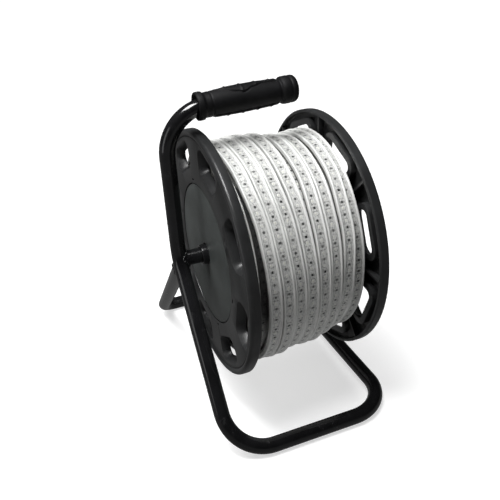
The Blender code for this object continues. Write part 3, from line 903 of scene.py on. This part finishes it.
def lay_uv(bm, number_layer, turns_of):
    lengths = section_lengths(STRIP_SECTION)
    count = len(STRIP_SECTION)
    uv = bm.loops.layers.uv.new("strip")
    for face in bm.faces:
        numbers = [loop.vert[number_layer] for loop in face.loops]
        wraps = len(numbers) == 4 and 0 in numbers and count - 1 in numbers
        for loop in face.loops:
            number = loop.vert[number_layer]
            place = lengths[count if wraps and number == 0 else number]
            loop[uv].uv = (turns_of[loop.vert] * math.tau * MEAN_RADIUS, place)


strip_bm = bmesh.new()
point_number = strip_bm.verts.layers.int.new("number")
spin_screw(strip_bm, point_number)
lay_uv(strip_bm, point_number, set_turns(strip_bm, point_number))
strip = finish_piece("wound_strip", move(strip_bm, TO_DRUM), JACKET, 60.0)
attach(strip, "drum")
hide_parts("strip_winding")
report_piece(strip)

# %% [markdown]
# ## The strip's end cap
#
# The free end of the strip is closed by a small soft cap, which is tucked in below. It is a cube
# that is bevelled until it is a pebble, then stretched over the end.

# %% Cap the end
def end_cap():
    middle, level = strip_place(TOP_TURNS)
    angle = math.radians(TOP_TURNS * 360.0 - START_ANGLE)
    bm = bmesh.new()
    bmesh.ops.create_cube(bm, size=1.0)
    bmesh.ops.bevel(bm, geom=bm.edges[:] + bm.verts[:], offset=0.22, offset_type="OFFSET", segments=4,
                    profile=0.5, material=-1, affect="EDGES")
    bmesh.ops.scale(bm, vec=(0.0146, 0.010, 0.0074), verts=bm.verts)
    move(bm, Matrix.Translation((UPRIGHT_X + middle, -0.002, level - 0.0034)))
    return move(bm, Matrix.Rotation(angle, 4, "X"))


cap = finish_piece("strip_end_cap", move(end_cap(), TO_DRUM), CAP_PLASTIC, 60.0)
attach(cap, "drum")
report_piece(cap)

# %% [markdown]
# ## The layers underneath
#
# Below the two outer layers only the edges of the strip show, through the holes of the flanges. One
# spun ring stands for them. Its two ends carry a groove between each two layers. Its finish is a grey
# copy of the strip's white, painted darker as the shade deep inside the drum.

# %% Inner layers
GROOVES = 6
INNER_BORE = 0.0604


def inner_outline():
    left, right = UPRIGHT_X + 0.0430, UPRIGHT_X + 0.1762
    points = [(left, INNER_BORE)]
    for i in range(GROOVES):
        level = INNER_BORE + (i + 1) * 0.0078
        points += [(left, level - 0.0012), (left + 0.0009, level - 0.0001), (left, level + 0.0008)]
    points += [(left, 0.1118), (left + 0.0012, 0.1130), (right - 0.0012, 0.1100), (right, 0.1088)]
    for i in reversed(range(GROOVES)):
        level = INNER_BORE + (i + 1) * 0.0072
        points += [(right, level + 0.0010), (right - 0.0009, level), (right, level - 0.0010)]
    points.append((right, INNER_BORE))
    return points


inner_bm = move(spin_outline(inner_outline(), 128), TO_DRUM)
inner = finish_piece("strip_inner_layers", inner_bm, SHADED_INNER_JACKET)
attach(inner, "drum")
report_piece(inner)

# %% [markdown]
# ## The rubber grip
#
# The grip is a moulded sleeve. Its outline is spun first, with a collar at the mouth, a closed end
# and grooves. Then its skin is raised where the real one is: a panel over the top, bounded by a
# curved line, with four low ribs, and a matching panel below. `PANEL_EDGE` says how many degrees
# from the top the line lies at each place along the grip. Each vertex moves out or in by what the
# panel says at its place along and round the grip.

# %% Shape the grip
BODY_START, BODY_END, BODY_STEPS = 0.0094, 0.0925, 110
PANEL_EDGE = [(0.000, 4.0), (0.015, 3.0), (0.026, 5.0), (0.043, 34.0), (0.052, 46.0), (0.064, 27.0),
              (0.077, 12.0), (0.093, 15.0)]
RIB_PLACES = (0.0335, 0.0505, 0.0675, 0.0835)


def grip_outline():
    points = [(0.0060, 0.0107), (0.0018, 0.0118), (0.0, 0.0131), (0.0, 0.0140), (0.0004, 0.0146),
              (0.0012, 0.0150), (0.0060, 0.0150), (0.0070, 0.0148), (0.0076, 0.0143),
              (0.0080, 0.01365), (0.0086, 0.0134), (0.0094, 0.01325)]
    for i in range(1, BODY_STEPS + 1):
        x = BODY_START + (BODY_END - BODY_START) * i / BODY_STEPS
        swell = 0.01315 + 0.0012 * math.sin(math.pi * i / BODY_STEPS) ** 0.8
        points.append((x, swell))
    points += [(0.0932, 0.0126), (0.0938, 0.0121), (0.0946, 0.0120), (0.0953, 0.0123),
               (0.0958, 0.0132), (0.0964, 0.0140), (0.0974, 0.0146), (0.1000, 0.0149),
               (0.1048, 0.0150), (0.1056, 0.0147), (0.1062, 0.0142), (0.1068, 0.0142),
               (0.1074, 0.0147), (0.1082, 0.0149), (0.1104, 0.0147), (0.1122, 0.0142),
               (0.1136, 0.0130), (0.1145, 0.0112), (0.1149, 0.0080), (0.1150, 0.0)]
    return points


def smooth_step(value, low, high):
    t = min(1.0, max(0.0, (value - low) / (high - low)))
    return t * t * (3 - 2 * t)


def bump_between(value, center, width):
    """1 at the centre, falling to nothing about two widths away."""
    away = (value - center) / width
    return math.exp(-away * away)


def skin_height(x, degrees):
    """How far the rubber stands out, with degrees counted from the top of the grip."""
    away = abs((degrees + 180.0) % 360.0 - 180.0)
    body = smooth_step(x, 0.0175, 0.0190) * (1.0 - smooth_step(x, 0.0905, 0.0922))
    edge = between(PANEL_EDGE, x) + 0.6 * math.sin(x * 900.0)
    on_top = 1.0 - smooth_step(away, edge - 2.0, edge + 2.0)
    below = smooth_step(away, 138.0, 142.0)
    panel = max(on_top, below)
    groove = bump_between(away, edge + 3.5, 2.6) + bump_between(away, 136.5, 2.2)
    rib = sum(bump_between(x, place, 0.0011) for place in RIB_PLACES)
    dots = 0.5 + 0.5 * math.sin(x * 2600.0) * math.sin(math.radians(away) * 42.0)
    ring = bump_between(x, 0.0160, 0.0007)
    raised = 0.00060 * panel + 0.00070 * panel * rib + 0.00020 * panel * dots * dots
    return body * (raised - 0.00085 * groove) - 0.0007 * ring


grip_bm = spin_outline(grip_outline(), 160, closed=False)
for vert in grip_bm.verts:
    radius_here = math.hypot(vert.co.y, vert.co.z)
    if radius_here > 0.012 and 0.009 < vert.co.x < 0.0935:
        degrees = math.degrees(math.atan2(-vert.co.y, vert.co.z))
        grown = radius_here + skin_height(vert.co.x, degrees)
        vert.co.y *= grown / radius_here
        vert.co.z *= grown / radius_here
move(grip_bm, Matrix.Translation(HANDLE_CORNER + HANDLE_DIR * GRIP_START)
     @ Matrix.Rotation(-HANDLE_RISE, 4, "Y"))
bmesh.ops.holes_fill(grip_bm, edges=[e for e in grip_bm.edges if e.is_boundary], sides=400)
grip = finish_piece("rubber_grip", grip_bm, RUBBER, 70.0)
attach(grip, "stand")
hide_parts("grip")
report_piece(grip)

# %% [markdown]
# ## Floor
#
# The photograph is a catalogue shot on white. The floor glows a little, so it stays white in the
# shade too, with only a pale shadow. It is left out of mirrored and bounced light and casts no
# shadow itself. That way the black parts stay black, and a light can reach up from below.

# %% Floor
def make_floor():
    finish = Finish("pale_floor", Roughness=0.9, Specular_IOR_Level=0.1, Emission_Color=(1, 1, 1, 1),
                    Emission_Strength=0.62)
    tone = finish.grain(finish.place(), 1.5, 2.0)
    finish.feed("Base Color", finish.mix(tone, (0.55, 0.55, 0.55), (0.57, 0.57, 0.57)))
    bm = bmesh.new()
    bmesh.ops.create_grid(bm, x_segments=2, y_segments=2, size=40.0)
    return finish_piece("floor", bm, finish.material)


def make_backdrop():
    """A glowing wall all round, meant as a plain background. No view was seen to show it."""
    finish = Finish("white_backdrop", Roughness=1.0, Specular_IOR_Level=0.0, Emission_Strength=1.0)
    tone = finish.grain(finish.place(), 0.5, 2.0)
    finish.feed("Base Color", finish.mix(tone, (0.0, 0.0, 0.0), (0.01, 0.01, 0.01)))
    finish.feed("Emission Color", finish.mix(tone, (1.0, 1.0, 1.0), (0.99, 0.99, 0.99)))
    bm = bmesh.new()
    bmesh.ops.create_cone(bm, cap_ends=False, segments=64, radius1=38.0, radius2=38.0, depth=60.0)
    return finish_piece("backdrop", bm, finish.material)


backdrop = make_backdrop()
backdrop.visible_glossy = False
backdrop.visible_diffuse = False
backdrop.visible_shadow = False
floor = make_floor()
floor.visible_shadow = False
floor.visible_glossy = False
floor.visible_diffuse = False
print("floor:", floor.name, [round(v) for v in floor.dimensions], "m")

# %% [markdown]
# ## Lights
#
# One wide light from above, and a little from behind and from the left, lights the whole model. It
# isn't mirrored in the paint. The white lines along the tube come from a smaller soft light above
# and a weaker one at the left. A fill light from below lifts the underside of the winding. The
# surround is dim, with a brighter lower half that gives the black plastic its dark grey.

# %% Lights
def soft_light(name, place, aim, size, power):
    light = bpy.data.lights.new(name, "AREA")
    light.shape = "RECTANGLE"
    light.size, light.size_y = size
    light.energy = power
    lamp = bpy.data.objects.new(name, light)
    lamp.location = place
    lamp.rotation_euler = (Vector(aim) - Vector(place)).to_track_quat("-Z", "Y").to_euler()
    bpy.context.scene.collection.objects.link(lamp)
    return lamp


def ramp_node(tree, socket, low, high, value_low, value_high):
    """A smooth change between two values while the socket goes from low to high."""
    ramp = tree.nodes.new("ShaderNodeMapRange")
    ramp.interpolation_type = "SMOOTHSTEP"
    values = {"From Min": low, "From Max": high, "To Min": value_low, "To Max": value_high}
    for name, value in values.items():
        ramp.inputs[name].default_value = value
    tree.links.new(socket, ramp.inputs["Value"])
    return ramp.outputs["Result"]


def dim_surround(above, below, below_left):
    """A dim room whose lower half is brighter, with a slightly weaker part on the left."""
    world = bpy.data.worlds.new("dim_surround")
    bpy.context.scene.world = world
    world.use_nodes = True
    tree = world.node_tree
    source = tree.nodes.new("ShaderNodeTexCoord")
    split = tree.nodes.new("ShaderNodeSeparateXYZ")
    tree.links.new(source.outputs["Generated"], split.inputs[0])
    across = ramp_node(tree, split.outputs["X"], -0.45, 0.05, below_left - above, below - above)
    lower = ramp_node(tree, split.outputs["Z"], -0.15, 0.10, 1.0, 0.0)
    both = tree.nodes.new("ShaderNodeMath")
    both.operation = "MULTIPLY_ADD"
    both.inputs[2].default_value = above
    tree.links.new(across, both.inputs[0])
    tree.links.new(lower, both.inputs[1])
    tree.links.new(both.outputs[0], tree.nodes["Background"].inputs["Strength"])


dim_surround(0.16, 3.4, 2.8)
overall = bpy.data.lights.new("overall_light", "SUN")
overall.energy = 2.95
overall.angle = math.radians(55.0)
overall_lamp = bpy.data.objects.new("overall_light", overall)
overall_lamp.rotation_euler = (math.radians(-20.0), math.radians(-16.0), 0.0)
overall_lamp.visible_glossy = False
bpy.context.scene.collection.objects.link(overall_lamp)
soft_light("top_light", (-0.35, -0.15, 1.38), (0.0, 0.0, 0.2), (0.55, 0.35), 15.0)
soft_light("left_light", (-1.3, -0.2, 0.55), (0.0, 0.0, 0.2), (0.5, 0.9), 1.8)
low_fill = soft_light("low_fill_light", (0.1, -0.45, -0.70), (0.0, 0.0, 0.12), (0.8, 0.8), 2.7)
low_fill.visible_glossy = False
bpy.context.scene.view_settings.view_transform = "Standard"

# %% [markdown]
# ## Camera
#
# The camera's place and turn were worked out from the ellipses of the two flanges and the corners
# of the stand. It looks down at the model from the front left, and it leans a few degrees.

# %% Camera
CAMERA_PLACE = Vector((-0.24565, -0.6322, 0.5400))
SENSOR_WIDTH = 36.0
PICTURE_WIDTH = 500.0
FOCAL_LENGTH = 623.23
azimuth, down, roll = math.radians(20.62), math.radians(28.94), math.radians(3.04)
flat = math.cos(down)
ahead = Vector((math.sin(azimuth) * flat, math.cos(azimuth) * flat, -math.sin(down)))
level = Vector((math.cos(azimuth), -math.sin(azimuth), 0.0))
below = ahead.cross(level)
right = math.cos(roll) * level + math.sin(roll) * below
under = -math.sin(roll) * level + math.cos(roll) * below
camera_data = bpy.data.cameras.new("camera")
camera_data.sensor_width = SENSOR_WIDTH
camera_data.lens = SENSOR_WIDTH * FOCAL_LENGTH / PICTURE_WIDTH
camera = bpy.data.objects.new("camera", camera_data)
turned = Matrix((right, -under, -ahead)).transposed().to_4x4()
camera.matrix_world = Matrix.Translation(CAMERA_PLACE) @ turned
bpy.context.scene.collection.objects.link(camera)
bpy.context.scene.camera = camera
print("camera at", [round(v, 3) for v in CAMERA_PLACE], "lens", round(camera_data.lens, 2), "mm")
